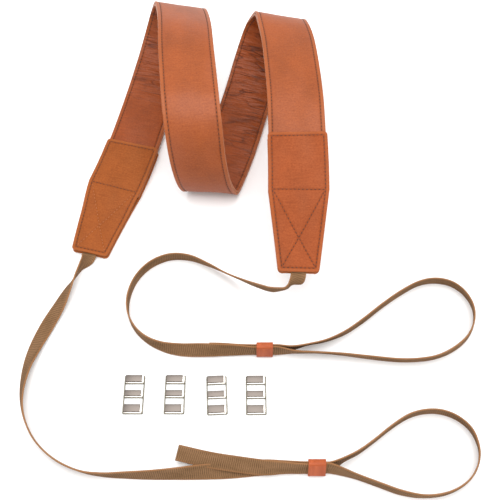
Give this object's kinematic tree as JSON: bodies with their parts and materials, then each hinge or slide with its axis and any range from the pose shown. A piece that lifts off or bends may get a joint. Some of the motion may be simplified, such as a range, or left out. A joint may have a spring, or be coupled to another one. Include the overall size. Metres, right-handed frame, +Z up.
{
  "type": "camera neck strap",
  "caption": "Lined leather camera neck strap with stitched end patches, narrow webbing ends looped through leather keepers, and loose ladder sliders, laid in folds.",
  "frame": {"origin": "on the surface it lies on, under the middle of the whole strap as laid", "axes": "+Z up, +X along the sliders towards the end loops, +Y away from the loops towards the band's folds"},
  "size_m": [0.3086, 0.3778, 0.083],
  "materials": {
    "smooth_leather": "smooth, semi-matt, fine grain",
    "lining_leather": "matt, creased",
    "webbing": "ribbed flat weave",
    "keeper_leather": "smooth, pale cut edges",
    "nickel": "satin nickel"
  },
  "bodies": {
    "root": {"strap_leather": "smooth_leather", "strap_lining": "lining_leather", "left_tab_face": "smooth_leather", "left_tab_back": "smooth_leather", "right_tab_face": "smooth_leather", "right_tab_back": "smooth_leather", "webbing_left": "webbing", "webbing_right": "webbing", "keeper_left": "keeper_leather", "keeper_right": "keeper_leather", "slider_1": "nickel", "slider_2": "nickel", "slider_3": "nickel", "slider_4": "nickel"}
  },
  "joints": []
}
